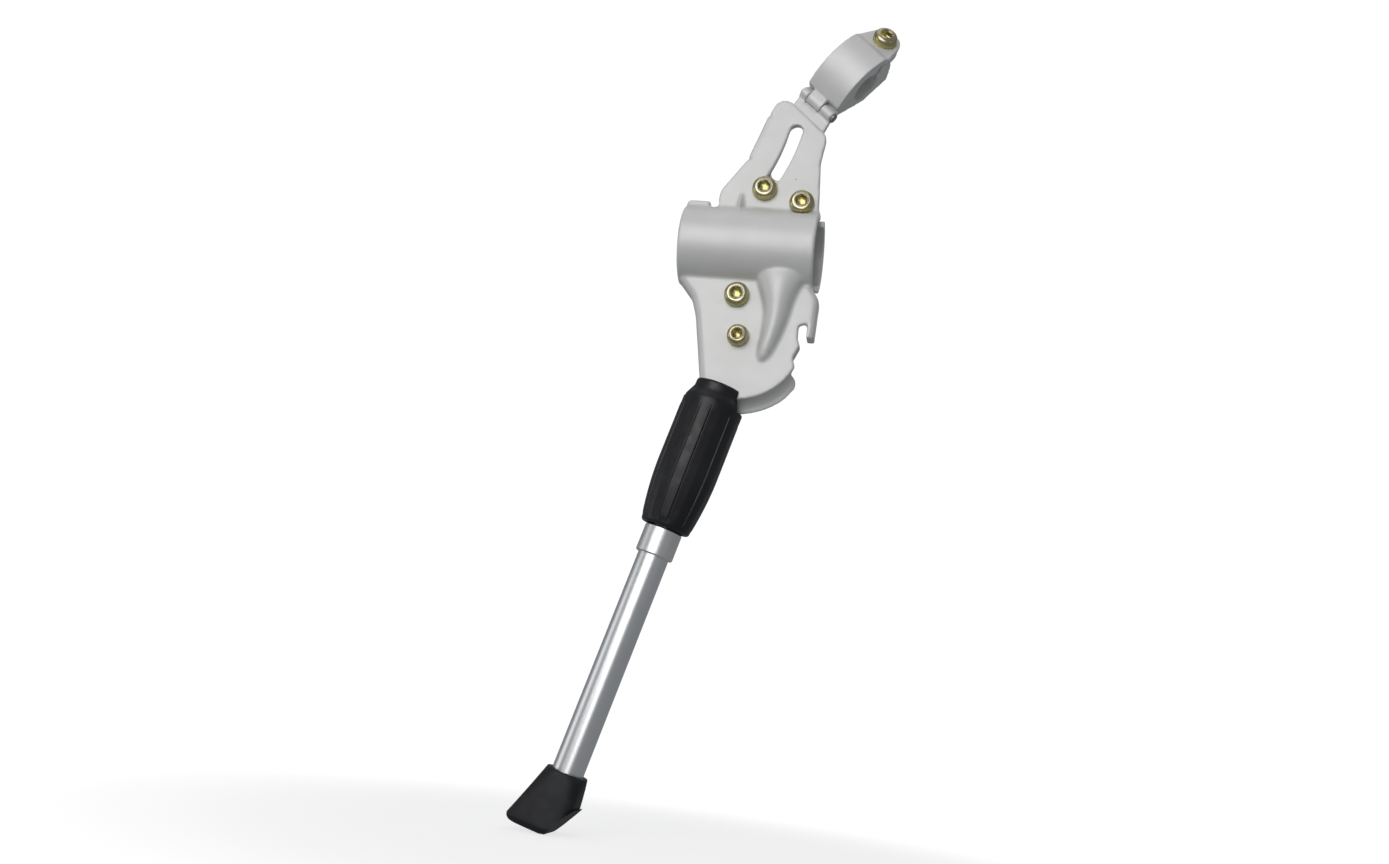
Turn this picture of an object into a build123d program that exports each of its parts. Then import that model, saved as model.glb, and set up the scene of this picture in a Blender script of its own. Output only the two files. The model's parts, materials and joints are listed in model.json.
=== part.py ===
from build123d import *

import math
import os

# Rear-mount bicycle kickstand, clamped to the chain stay and braced to the seat stay.
# Millimetres. +X points to the rear of the bicycle along the chain stay, +Z up, and -Y
# outboard, the side that the stand is seen and used from. The origin is the middle of the
# chain stay's axis inside its clamp. The stand is drawn deployed, with its leg down.

# ---------------------------------------------------------------- driving dimensions

# Chain-stay clamp: a half channel on the bracket and a loose rear jaw.
chain_stay_r = 15.0        # radius of the tube that the clamp grips
pad_thickness = 2.3        # rubber pad inside the half channel
pad_length = 58.0
channel_wall = 3.3
channel_length = 67.0
channel_gap = 0.8          # half the gap between the channel and the jaw
jaw_wall = 3.4
lug_rise = 2.7             # the channel's front end stands this much taller, beside the notch
lug_length = 11.5
notch_r = 2.4
jaw_bore_clearance = 0.3   # teeth stand this far off the tube before the bolts are tight
tooth_pitch_deg = 7.0
tooth_depth = 0.8
tooth_count = 8

# Flat plate of the bracket. It stands in front of the chain stay's axis.
plate_front = -9.0
plate_thickness = 3.2
housing_back = 0.4         # rear edge of the plate's turned-back walls
wall = 3.0                 # thickness of the turned-back walls
edge_round = 4.2           # large outer radius where the plate turns back
hook_round = 3.0
flange_round = 1.8
wall_clearance = 0.5       # the cavity behind the plate stands this far off its walls

# Clamp bolts, M6 flanged button heads.
bolt_r = 3.0
bolt_head_r = 6.2
bolt_head_h = 4.6
bolt_socket_r = 2.6
bolt_clearance = 0.2
upper_bolt_x, upper_bolt_rise = 24.0, 2.4      # rise and drop are from the channel's outer radius
lower_bolt_x, lower_bolt_drop = -2.4, 6.4
jaw_ear_r = 7.0
jaw_ear_thickness = 5.0
jaw_overhang = 2.0         # the jaw is this much longer than the channel at its rear end

# Curved slot and the seat-stay arm that slides along it.
slot_centre_x, slot_centre_rise = -81.3, 59.6
slot_radius = 100.0
slot_width = 6.4
slot_bolt_deg = -30.5      # place of the slot bolt on the slot's arc
slot_travel_deg = 20.0
arm_thickness = 3.0
arm_gap = 0.15             # running gap between the arm and the plate
arm_half_width = 11.2
arm_window = 8.0

# Seat-stay clamp at the arm's upper end.
seat_stay_r = 7.5
seat_stay_deg = 41.0       # rise of the seat stay, towards the front
seat_stay_x, seat_stay_y, seat_stay_rise = 41.0, -5.0, 75.9
ring_width = 21.5
ring_wall = 2.6
ring_to_hinge = 23.0       # from the tube's axis to the hinge pin
knuckle_r = 3.15
knuckle_gap = 0.3
knuckle_split = (7.2, 17.0)
hinge_pin_r = 1.5
pin_head_r = 2.3
hinge_clearance = 0.05
ear_deg = 26.0             # slope of the clamp's ears
ear_r = 8.4
ear_start = (15.2, -8.6)   # outer edge of the strap's bend, where the ear begins
ear_bolt_run = 9.0
strap_bulge_r = 12.4       # the strap stands this far out in front of the tube
ear_gap = 1.0
strap_ear_thickness = 3.0
arm_ear_thickness = 3.6
strap_bolt_r = 2.5

# Leg pivot and the quarter-ring skirt that the sleeve snaps past.
pivot_x, pivot_drop = 0.7, 27.2
leg_lean = 14.2            # lean of the deployed leg, foot forward
leg_swing = 86.0
pivot_r = 3.0
pivot_head_r = 5.35
pivot_head_h = 5.2
pivot_socket_r = 2.2
pivot_washer_thickness = 0.8
pivot_nut_thickness = 5.0
bush_wall = 1.2
bush_clearance = 0.05
skirt_start_deg = 4.0      # measured from straight down, towards the rear
skirt_end_deg = 60.0
skirt_corner_r = 4.5
skirt_top_r = 31.6
skirt_lip_r = 36.9
skirt_wall = 2.4

# Leg. Distances along it are measured from the pivot.
leg_axis_y = -3.5
head_r = 11.8
head_thickness = 4.0
head_gap = 0.3
tongue_half_width = 5.5
plug_r = 9.5
plug_end = 58.0
sweep_clearance = 0.5      # between the swinging sleeve and the fixed skirt
stem_r = 5.5
stem_top = 46.0
stem_overlap = 32.0        # the stem's end stands this far above the tube's end
stem_pin_r = 1.5
guide_groove = 1.2
sleeve_top = 26.0
sleeve_neck_r = 12.4
sleeve_shoulder = 31.5
sleeve_r = 15.0
sleeve_waist = 68.0
sleeve_bottom = 99.0
sleeve_bottom_r = 11.8
sleeve_travel = 8.0
slide_clearance = 0.2
ledge_gap = 0.5            # between the plug's end and the sleeve's inner ledge
ledge_thickness = 2.5
spring_wire = 1.3
spring_turns = 7
seat_rise = 4.0            # the spring's seat stands this far above the collar
seat_thickness = 1.5
guide_length = 10.0
collar_gap = 0.5           # between the resting sleeve and the collar
collar_length = 13.5
collar_r = 9.1
tube_r = 7.5
tube_wall = 1.3
tube_length = 127.0
height_travel = 40.0
notch_pitch = 5.0
notch_depth = 0.6
foot_overlap = 16.5        # length of the tube inside the boot
foot_height = 28.0
foot_wall = 2.0
foot_length = 28.5
foot_width = 24.0
foot_reach = 3.8           # the sole's middle stands this far forward of the leg's axis
heel_cut = 13.0


# ---------------------------------------------------------------- helpers

def front_plane(y, x=0.0, z=0.0):
    """Plane facing outboard at depth y: local x is +X and local y is +Z."""
    return Plane(origin=(x, y, z), x_dir=(1, 0, 0), z_dir=(0, -1, 0))


def slab(sketch, y_front, y_back):
    """Extrude a sketch given in X and Z from depth y_back forward to depth y_front."""
    return extrude(front_plane(y_back) * sketch, amount=y_back - y_front)


def rod(radius, y_front, y_back, at):
    """Round bar along Y, through the point at = (x, z)."""
    return slab(Pos(*at) * Circle(radius), y_front, y_back)


def polar(centre, radius, degrees):
    """Point on a circle in X and Z, with 0 degrees along +X."""
    angle = math.radians(degrees)
    return centre[0] + radius * math.cos(angle), centre[1] + radius * math.sin(angle)


def outline(points, radii):
    """Closed face of straight runs whose corners have the radii given."""
    return make_face(FilletPolyline(*points, radius=radii, close=True))


def arc_band(centre, r_inner, r_outer, start_deg, end_deg):
    """Face of a curved strip with round ends."""
    r_mid, half = (r_inner + r_outer) / 2, (r_outer - r_inner) / 2
    low_in, low_out = polar(centre, r_inner, start_deg), polar(centre, r_outer, start_deg)
    high_in, high_out = polar(centre, r_inner, end_deg), polar(centre, r_outer, end_deg)
    middle = (start_deg + end_deg) / 2
    edges = [
        ThreePointArc(low_out, polar(centre, r_outer, middle), high_out),
        Line(high_out, high_in),
        ThreePointArc(high_in, polar(centre, r_inner, middle), low_in),
        Line(low_in, low_out),
    ]
    face = make_face(edges)
    for degrees in (start_deg, end_deg):
        face += Pos(*polar(centre, r_mid, degrees)) * Circle(half)
    return face


def hex_socket(radius):
    """Six-sided recess of a socket head, given the radius of its inscribed circle."""
    return RegularPolygon(radius, 6, major_radius=False)


def button_bolt(shank_r, head_r, head_h, socket_r, length):
    """Flanged button-head bolt along +Z of its own frame, head above the plane Z = 0."""
    flange = 0.28 * head_h
    crown_r = 0.62 * head_r
    profile = make_face([
        Line((0, 0), (head_r, 0)),
        Line((head_r, 0), (head_r, flange)),
        ThreePointArc(
            (head_r, flange),
            (head_r - 0.12 * (head_r - crown_r) - 0.35 * (head_r - crown_r), 0.78 * head_h),
            (crown_r, head_h),
        ),
        Line((crown_r, head_h), (0, head_h)),
        Line((0, head_h), (0, 0)),
    ])
    head = revolve(Plane.XZ * profile, axis=Axis.Z)
    depth = 0.62 * head_h
    head -= Pos(0, 0, head_h - depth) * extrude(hex_socket(socket_r), amount=head_h)
    shank = Pos(0, 0, -length) * extrude(Circle(shank_r), amount=length)
    return head + chamfer(shank.edges().sort_by(Axis.Z)[0], 0.5)


def hex_nut(across_r, thickness, bore_r):
    """Hexagon nut standing on Z = 0, given the radius of its inscribed circle."""
    return extrude(hex_socket(across_r) - Circle(bore_r), amount=thickness)


def facing_front(x, y, z):
    """Frame whose +Z points outboard, for bolts that enter from the front."""
    return Location(front_plane(y, x, z))


def washer(outer_r, inner_r, y_front, y_back, at):
    return slab(Pos(*at) * (Circle(outer_r) - Circle(inner_r)), y_front, y_back)


# ---------------------------------------------------------------- derived places

plate_back = plate_front + plate_thickness
channel_bore_r = chain_stay_r + pad_thickness
channel_r = channel_bore_r + channel_wall
channel_end = channel_length / 2


def above(*points):
    """Points given by x and their rise above the channel's outer radius."""
    return [(x, round(channel_r + rise, 6)) for x, rise in points]


def below(*points):
    """Points given by x and their drop below the channel's outer radius."""
    return [(x, round(-channel_r - drop, 6)) for x, drop in points]


upper_bolt, = above((upper_bolt_x, upper_bolt_rise))
lower_bolt, = below((lower_bolt_x, lower_bolt_drop))
slot_centre, = above((slot_centre_x, slot_centre_rise))
seat_stay_centre = (seat_stay_x, seat_stay_y, above((0, seat_stay_rise))[0][1])
pivot, = below((pivot_x, pivot_drop))
pivot_z = pivot[1]

head_front = housing_back + head_gap
head_back = head_front + head_thickness
bush_r = pivot_r + bush_clearance + bush_wall

leg_down = Vector(-math.sin(math.radians(leg_lean)), 0, -math.cos(math.radians(leg_lean)))
leg_origin = Vector(pivot_x, leg_axis_y, pivot_z)
# The leg's own frame: +Z runs down the leg, +X forward across it, and +Y inboard.
leg_forward = Vector(-math.cos(math.radians(leg_lean)), 0, math.sin(math.radians(leg_lean)))
leg_frame = Location(Plane(origin=leg_origin, x_dir=leg_forward, z_dir=leg_down))

collar_top = sleeve_bottom + collar_gap
tube_top = collar_top + 8.5
tube_end = tube_top + tube_length
stem_end = tube_end - stem_overlap
ring_at = collar_top + 5.0     # snap ring's distance from the pivot
foot_top = tube_end - foot_overlap
foot_bottom = foot_top + foot_height
ledge_low = plug_end + ledge_gap
spring_top = ledge_low + ledge_thickness
seat_at = collar_top - seat_rise
sweep_r = skirt_lip_r + sweep_clearance

rise = math.radians(seat_stay_deg)
stay_along = Vector(-math.cos(rise), 0, math.sin(rise))
stay_across = Vector(math.sin(rise), 0, math.cos(rise))
ring_centre = Vector(*seat_stay_centre)
# The ring's own frame: X from the hinge to the ears, Y inboard and Z up the seat stay,
# with the tube's axis at X = 0, Y = 0.
ring_frame = Location(
    Plane(origin=ring_centre - stay_along * (ring_width / 2), x_dir=stay_across, z_dir=stay_along)
)
slot_bolt = polar(slot_centre, slot_radius, slot_bolt_deg)


# ---------------------------------------------------------------- main bracket

front_edge_points = below(
    (-channel_end, -11.6), (-channel_end, -1.4), (-25.0, 8.6), (-22.0, 17.4), (-13.7, 61.4),
)
front_edge_radii = [7.0, 12.0, 20.0]
hook_edge_points = below((27.0, -2.6), (32.5, -2.2), (37.6, 5.4), (36.9, 25.4))
hook_edge_radii = [4.5, 6.5]
hook_prong_x = 33.3        # inner side of the hook's prong
# The plate below the channel, clockwise from its upper front corner.
lower_points = below(
    (-25.0, -11.6), (-25.0, -1.1), (-17.0, 10.4), (-14.0, 18.4), (-6.5, 57.4), (-6.5, 69.4),
    (31.5, 69.4), (29.9, 40.9), (28.0, 35.9), (30.8, 29.4), (29.4, 25.9), (29.2, 18.6),
    (hook_prong_x, 18.6), (33.8, 9.4), (31.0, 3.4), (27.0, -1.4), (27.0, -11.6),
)
lower_radii = [0.5, 6.0, 12.0, 20.0, 0.5, 0.5, 1.0, 2.5, 1.5, 1.0, 2.0, 1.9, 1.9, 4.0, 1.5, 0.5, 0.5]
tab_points = below((26.6, 36.4), (28.0, 35.9), (30.8, 29.4), (29.4, 25.9), (27.6, 25.9))
tab_radii = [1.2, 1.2, 1.0]

# The slotted plate, clockwise from its lower front corner, with a step either side of its flange.
flange_low, flange_high = above((-5.6, 25.7), (1.9, 49.4))
upper_points = above(
    (-18.2, -8.6), (-17.4, 6.9), (-6.2, 24.0), (-2.6, 26.0), (4.6, 49.0), (2.9, 50.8),
    (6.5, 58.8), (13.0, 57.6), (33.0, 39.6), (31.0, 25.4), (32.9, -2.6), (32.9, -8.6),
)
upper_radii = [0.5, 9.0, 1.5, 1.0, 0.8, 0.8, 5.5, 5.5, 7.0, 20.0, 12.0, 0.5]

cavity_points = [(x + wall + wall_clearance, z) for x, z in front_edge_points[:-1]] + below(
    (-10.9, 56.4), (25.6, 56.4), (25.6, 39.9), (26.4, 16.4), (33.6, 16.0), (33.6, 5.4),
    (30.0, 0.9), (26.0, -5.6), (26.0, -11.6),
)
cavity_radii = [0.5, 5.0, 10.0, 18.0, 0.5, 0.5, 1.0, 1.0, 1.0, 4.0, 3.0, 1.0, 0.5]


def turned_edge(path_points, path_radii, closing_points, radius):
    """Block whose side along the path is rounded over at the front, as a turned-back wall is."""
    path = FilletPolyline(*path_points, radius=path_radii)
    closing = Polyline(path_points[-1], *closing_points, path_points[0])
    block = slab(make_face(path.edges() + closing.edges()), plate_front, housing_back)
    front = block.faces().sort_by(Axis.Y)[0]
    sides = [Vector(x, plate_front, z) for x, z in closing_points]
    rounded = [
        edge for edge in front.edges()
        if not any((edge.position_at(t) - corner).length < 1e-3 for corner in sides for t in (0, 1))
    ]
    return block.fillet(radius, rounded)


def lower_housing():
    """Plate below the channel, with walls turned back along its front side and the hook."""
    below_pivot = pivot_z - 10.0
    trim = Pos(0, below_pivot - 60) * Rectangle(200, 120)
    trim -= Pos(*pivot) * Circle(skirt_top_r)
    body = slab(outline(lower_points, lower_radii), plate_front, plate_back)
    body += turned_edge(front_edge_points, front_edge_radii, below((-6.0, 61.4), (-6.0, -11.6)), edge_round)
    prong_low = hook_edge_points[-1][1]
    prong = [(hook_prong_x, prong_low), *below((hook_prong_x, 15.4), (27.0, 15.4))]
    body += turned_edge(hook_edge_points, hook_edge_radii, prong, hook_round)
    body -= slab(outline(cavity_points, cavity_radii), plate_back, housing_back + 1)
    tab = outline(tab_points + below((26.6, 26.4)), [0.3] + tab_radii + [0.3, 0.3])
    body += slab(tab, plate_back - 1, -2.0)
    body -= slab(trim, plate_front - 1, housing_back + 1)
    return body


def skirt():
    """Quarter ring about the pivot that flares inboard from the plate's round lower edge."""
    cove = skirt_lip_r - skirt_top_r
    lip = housing_back
    start = lip - 1.4
    profile = make_face([
        Line((skirt_top_r - skirt_wall, plate_front), (skirt_top_r, plate_front)),
        Line((skirt_top_r, plate_front), (skirt_top_r, start - cove)),
        ThreePointArc(
            (skirt_top_r, start - cove),
            (skirt_lip_r - cove * math.cos(math.pi / 4), start - cove + cove * math.sin(math.pi / 4)),
            (skirt_lip_r, start),
        ),
        Line((skirt_lip_r, start), (skirt_lip_r, lip)),
        Line((skirt_lip_r, lip), (skirt_lip_r - cove * 0.75, lip)),
        Line((skirt_lip_r - cove * 0.75, lip), (skirt_top_r - skirt_wall, start - cove * 0.4)),
        Line((skirt_top_r - skirt_wall, start - cove * 0.4), (skirt_top_r - skirt_wall, plate_front)),
    ])
    # The profile's frame: local x outward from the pivot, local y inboard, swept about Y.
    first = math.radians(skirt_start_deg)
    outward = Vector(math.sin(first), 0, -math.cos(first))
    frame = Plane(origin=(pivot_x, 0, pivot_z), x_dir=outward, z_dir=outward.cross(Vector(0, 1, 0)))
    sweep = skirt_end_deg - skirt_start_deg
    ring = revolve(frame * profile, axis=Axis((pivot_x, 0, pivot_z), (0, -1, 0)), revolution_arc=sweep)
    # The rear end is rounded where it meets the lip.
    reach = skirt_lip_r + 5
    below = [polar(pivot, reach, skirt_start_deg - 95.0), polar(pivot, 2 * reach, skirt_start_deg - 45.0)]
    end_deg = skirt_end_deg - 90.0
    corner = polar(pivot, skirt_lip_r - 0.3, end_deg)
    inner = polar(pivot, 10.0, end_deg)
    lip_end = polar(corner, 30.0, end_deg - 97.0)
    keep = outline([inner, corner, lip_end, below[0], (pivot_x - 5, pivot_z)], [0.1, skirt_corner_r, 0.1, 0.1, 0.1])
    keep += Pos(*pivot) * Circle(skirt_top_r + 1.0)
    return ring & slab(keep, plate_front - 1, housing_back + 1)


# Sections of the horn from its root down: x, drop below the channel, half width, height above
# the plate and tilt.
horn_stations = [
    (18.0, -9.6, 13.5, 6.2, 0), (17.9, -2.6, 11.6, 7.0, 0), (17.8, 2.4, 9.4, 7.0, -1),
    (17.9, 7.4, 7.6, 6.5, -2), (17.9, 14.4, 6.0, 5.7, 3), (16.9, 22.9, 4.9, 4.8, 12),
    (15.0, 30.9, 4.0, 3.7, 18), (13.5, 36.4, 2.8, 2.2, 18), (12.9, 38.8, 0.9, 0.6, 18),
]


def horn():
    """Rounded rib that runs from the channel down beside the pivot, flattening to its tip."""
    sections = []
    for x, drop, half_width, height, tilt in horn_stations:
        tilt = math.radians(tilt)
        (x, z), = below((x, drop))
        frame = Plane(
            origin=(x, plate_front + 1.0, z),
            x_dir=(math.cos(tilt), 0, -math.sin(tilt)),
            z_dir=(-math.sin(tilt), 0, -math.cos(tilt)),
        )
        sections.append(frame * Ellipse(half_width, height + 1.0))
    body = loft(sections)
    return body & (Pos(18, plate_front - 6.5, -channel_r - 15.4) * Box(60, 15, 80))


def main_bracket():
    """Cast bracket: half channel, slotted plate, lower housing, hook, skirt and ribs in one."""
    body = lower_housing()
    body += slab(outline(upper_points, upper_radii), plate_front, plate_back)

    body += guide_flange()

    # Half channel, open inboard, with a taller front end beside the notch.
    channel = Rot(0, 90, 0) * extrude(Circle(channel_r), amount=channel_end, both=True)
    channel &= Pos(0, -channel_gap - 50, 0) * Box(200, 100, 100)
    body += channel
    body += lug()

    body += horn()
    body += skirt()
    body += gusset()

    # Bosses behind the plate, round the pivot and under the upper clamp bolt.
    body += rod(bush_r + 3.0, plate_front + 1.0, housing_back, pivot)
    body += rod(bolt_head_r, plate_front + 1.0, -channel_gap - 1.0, upper_bolt)

    body -= Rot(0, 90, 0) * extrude(Circle(channel_bore_r), amount=channel_length, both=True)
    notch_at = (-channel_end + lug_length + notch_r, channel_r + 0.4)
    body -= rod(notch_r, -60, 20, notch_at)

    slot = arc_band(
        slot_centre, slot_radius - slot_width / 2, slot_radius + slot_width / 2,
        slot_bolt_deg - 0.2, slot_bolt_deg + slot_travel_deg + 0.2,
    )
    body -= slab(slot, plate_front - 5, housing_back + 5)
    for at in (upper_bolt, lower_bolt):
        body -= rod(bolt_r + bolt_clearance, -40, 20, at)
        body -= rod(bolt_head_r + 0.4, -40, plate_front, at)
    body -= rod(pivot_r + 0.05, -40, 20, pivot)
    return body


def guide_flange():
    """Wall turned back along the slotted plate's front edge, rounded at its front."""
    run = Vector(flange_high[0] - flange_low[0], flange_high[1] - flange_low[1])
    inward = run.normalized().rotate(Axis.Z, -90) * (wall + flange_round)
    corners = [
        flange_low, flange_high,
        (flange_high[0] + inward.X, flange_high[1] + inward.Y),
        (flange_low[0] + inward.X, flange_low[1] + inward.Y),
    ]
    block = slab(make_face(Polyline(*corners, close=True)), plate_front + 0.3, plate_back)
    front = block.faces().sort_by(Axis.Y)[0]
    return block.fillet(flange_round, [front.edges().sort_by(Axis.X)[0]])


def lug():
    """Front end of the channel's upper side: a taller, rounded shoulder beside the notch."""
    end = -channel_end + lug_length
    blank = Pos(-channel_end, 0, 0) * Rot(0, 90, 0) * extrude(Circle(channel_r + lug_rise), amount=lug_length)
    blank &= Pos((end - channel_end) / 2, -channel_gap - 4.0, channel_r) * Box(lug_length, 8.0, 14.0)
    top = blank.faces().sort_by(Axis.X)[0].edges().filter_by(GeomType.CIRCLE)
    return blank.fillet(2.2, top)


def gusset():
    """Small pointed rib between the channel and the slotted plate."""
    foot_z = channel_r - 5.6
    tip, front, rear = (-6.3, channel_r + 6.9), (-9.4, foot_z), (-3.2, foot_z)
    root = [Vector(x, plate_front, z) for x, z in (tip, front, rear)]
    back = [corner + Vector(0, 2.0, 0) for corner in root]
    ridge = Vector(-6.4, plate_front - 6.0, channel_r - 7.1)
    faces = [(root[0], root[1], ridge), (root[0], ridge, root[2]), (root[1], ridge, root[2])]
    faces.append((back[0], back[2], back[1]))
    faces += [(root[i], back[i], back[i - 1], root[i - 1]) for i in range(3)]
    return Solid(Shell([Face(Wire.make_polygon(points)) for points in faces]))


# ---------------------------------------------------------------- chain-stay clamp

def chainstay_pad():
    """Rubber half sleeve that lines the channel."""
    ring = Circle(channel_bore_r) - Circle(chain_stay_r)
    pad = Rot(0, 90, 0) * extrude(ring, amount=pad_length / 2, both=True)
    return pad & (Pos(0, -channel_gap - 50, 0) * Box(200, 100, 100))


def rear_jaw():
    """Loose half shell with two ears, toothed inside to grip the tube."""
    inner = chain_stay_r + jaw_bore_clearance
    outer = inner + jaw_wall
    jaw_front = channel_gap
    shell = Pos(-channel_end + 0.5, 0, 0) * Rot(0, 90, 0) * extrude(
        Circle(outer), amount=channel_length - 0.5 + jaw_overhang)
    ear_back = jaw_front + jaw_ear_thickness
    body = shell
    for (x, z) in (upper_bolt, lower_bolt):
        towards = 1 if z > 0 else -1
        foot = Pos(x, towards * 12.0) * Rectangle(2 * jaw_ear_r + 5, 8)
        run = Pos(x, (towards * 12.0 + z) / 2) * Rectangle(2 * jaw_ear_r, abs(z - towards * 12.0))
        body += slab(Pos(x, z) * Circle(jaw_ear_r) + run + foot, jaw_front, ear_back)
    body &= Pos(0, jaw_front + 50, 0) * Box(200, 100, 100)
    body -= Rot(0, 90, 0) * extrude(Circle(inner), amount=channel_length, both=True)
    tooth = Polyline((0, -tooth_depth), (tooth_depth * 1.2, tooth_depth), (-tooth_depth * 1.2, tooth_depth), close=True)
    for k in range(tooth_count):
        degrees = -20.0 - k * tooth_pitch_deg
        angle = math.radians(degrees)
        centre = (0, inner * math.cos(angle), inner * math.sin(angle))
        groove = Pos(*centre) * Rot(degrees, 0, 0) * Rot(-90, 0, 0) * Rot(0, 90, 0) * extrude(
            Rot(0, 0, 90) * make_face(tooth), amount=channel_length, both=True
        )
        body -= groove
    for at in (upper_bolt, lower_bolt):
        body -= rod(bolt_r + 0.1, -20, 40, at)
    return body


def clamp_bolts():
    """The two bolts that draw the jaw onto the chain stay."""
    length = channel_gap + jaw_ear_thickness - plate_front + 9.0
    bolt = button_bolt(bolt_r, bolt_head_r, bolt_head_h, bolt_socket_r, length)
    return [facing_front(x, plate_front, z) * bolt for x, z in (upper_bolt, lower_bolt)]


# ---------------------------------------------------------------- slot bolt and arm

arm_front = plate_back + arm_gap
arm_back = arm_front + arm_thickness
hinge_x = -ring_to_hinge                       # hinge pin in the ring's frame
ring_outer_r = seat_stay_r + ring_wall


def ring_slab(sketch, low=0.0, high=ring_width):
    """Extrude a sketch of the ring's frame along the seat stay, from low to high."""
    return ring_frame * (Pos(0, 0, low) * extrude(sketch, amount=high - low))


def ring_point(across, along):
    """X and Z of a point given across and along the seat stay in the ring's frame."""
    point = ring_centre + stay_across * across + stay_along * (along - ring_width / 2)
    return point.X, point.Z


def tangent_point(p, radius, sign):
    """Point where a line from p touches the circle of that radius about the origin."""
    distance = math.hypot(*p)
    angle = math.atan2(p[1], p[0]) + sign * math.acos(radius / distance)
    return radius * math.cos(angle), radius * math.sin(angle)


ear_slope = math.radians(ear_deg)


def ear_point(run, depth=0.0):
    """Point on the ear: run along its slope, and depth inboard from its outer face."""
    return (
        ear_start[0] + run * math.cos(ear_slope) - depth * math.sin(ear_slope),
        ear_start[1] + run * math.sin(ear_slope) + depth * math.cos(ear_slope),
    )


def ear_plate(depth_front, depth_back, overlap):
    """Ear of the clamp: as wide as the ring at its root, rounded about the bolt."""
    x, y = ear_point(0, depth_front)
    frame = ring_frame * Location(Plane(
        origin=(x, y, ring_width / 2),
        x_dir=(math.cos(ear_slope), math.sin(ear_slope), 0),
        z_dir=(-math.sin(ear_slope), math.cos(ear_slope), 0),
    ))
    half = ring_width / 2
    root = make_face(Polyline((-overlap, -half), (0.3, -half), (0.3, half), (-overlap, half), close=True))
    round_end = Pos(ear_bolt_run, 0) * Circle(ear_r)
    hull = make_hull(root.edges() + round_end.edges())
    return frame * extrude(hull, amount=depth_back - depth_front)


def ear_drill(radius, stretch=0.0):
    """Hole along the bolt's axis, stretched towards the ear's end by the given amount."""
    x, y = ear_point(ear_bolt_run, -10)
    frame = ring_frame * Location(Plane(
        origin=(x, y, ring_width / 2),
        x_dir=(math.cos(ear_slope), math.sin(ear_slope), 0),
        z_dir=(-math.sin(ear_slope), math.cos(ear_slope), 0),
    ))
    shape = Circle(radius)
    if stretch:
        shape = SlotCenterToCenter(2 * stretch, 2 * radius)
    return frame * extrude(shape, amount=40)


def seat_stay_arm():
    """Slotted arm behind the plate, with the rear half of the seat-stay clamp at its top."""
    inner, outer = slot_radius - arm_half_width, slot_radius + arm_half_width
    start, end = slot_bolt_deg + 1.0, slot_bolt_deg + 23.5
    middle = (start + end) / 2
    low_in, low_out = polar(slot_centre, inner, start), polar(slot_centre, outer, start)
    high_in, high_out = polar(slot_centre, inner, end), polar(slot_centre, outer, end)
    band = make_face([
        ThreePointArc(low_out, polar(slot_centre, outer, middle), high_out),
        Line(high_out, high_in),
        ThreePointArc(high_in, polar(slot_centre, inner, middle), low_in),
        Line(low_in, low_out),
    ])
    band += make_hull(
        (Pos(*slot_bolt) * Circle(7.0)).edges() + [Line(low_in, low_out)]
    )
    # Tab from the band's upper end to the hinge line.
    hinge_low = ring_point(hinge_x, 0)
    hinge_high = ring_point(hinge_x, ring_width)
    tab = make_hull([
        Line(polar(slot_centre, inner, end - 2), polar(slot_centre, outer, end - 5)),
        Line(hinge_low, hinge_high),
    ])
    flat = band + tab
    window = arc_band(
        slot_centre, slot_radius - arm_window / 2, slot_radius + arm_window / 2,
        slot_bolt_deg + 7.0, slot_bolt_deg + slot_travel_deg + 0.5,
    )
    flat -= window
    body = slab(flat, arm_front, arm_back)

    # Rear half of the ring, straight on its hinge side and square on its ear side.
    touch = tangent_point((hinge_x + 3.5, 1.7), ring_outer_r, -1)
    shell = make_face(Polyline(
        (hinge_x, -0.4), (hinge_x, 2.2), (hinge_x + 3.5, 2.2), touch, (-1.5, ring_outer_r - 0.2),
        (14.4, ring_outer_r - 0.8), (16.2, 4.0), (17.6, -1.0), (16.0, -2.6), (0, -2.6), (-15.0, -0.4), close=True
    ))
    shell -= Circle(seat_stay_r)
    shell -= Pos(0, -seat_stay_r) * Rectangle(2 * seat_stay_r * 0.999, 2 * seat_stay_r)
    body += ring_slab(shell)
    depth = strap_ear_thickness + ear_gap
    body += ear_plate(depth, depth + arm_ear_thickness, 2.5)

    # Outer knuckles of the hinge, with room for the strap's own knuckle between them.
    for low, high in ((0.0, knuckle_split[0]), (knuckle_split[1], ring_width)):
        body += ring_slab(Pos(hinge_x, 0) * Circle(knuckle_r), low, high)
    gap = Pos(hinge_x, 0) * Circle(knuckle_r + 0.4)
    gap += Pos(hinge_x + 3.0, -2.0) * Rectangle(8.0, 5.0)
    body -= ring_slab(gap, knuckle_split[0], knuckle_split[1])
    body -= ring_slab(Pos(hinge_x, 0) * Circle(hinge_pin_r), -5, ring_width + 5)
    body -= ring_slab(Pos(hinge_x, 0) * Circle(pin_head_r + 0.1), -10, 0)

    # Grip ridges on the ear side of the bore.
    for k in range(6):
        degrees = 4.0 + 8.0 * k
        angle = math.radians(degrees)
        notch = Pos(seat_stay_r * math.cos(angle), seat_stay_r * math.sin(angle)) * Rot(0, 0, degrees + 45)
        body -= ring_slab(notch * Rectangle(0.7, 0.7), -1, ring_width + 1)
    body -= ear_drill(strap_bolt_r + 0.3, stretch=0.8)
    body -= rod(bolt_r + 0.02, -20, 20, slot_bolt)
    return body


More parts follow.
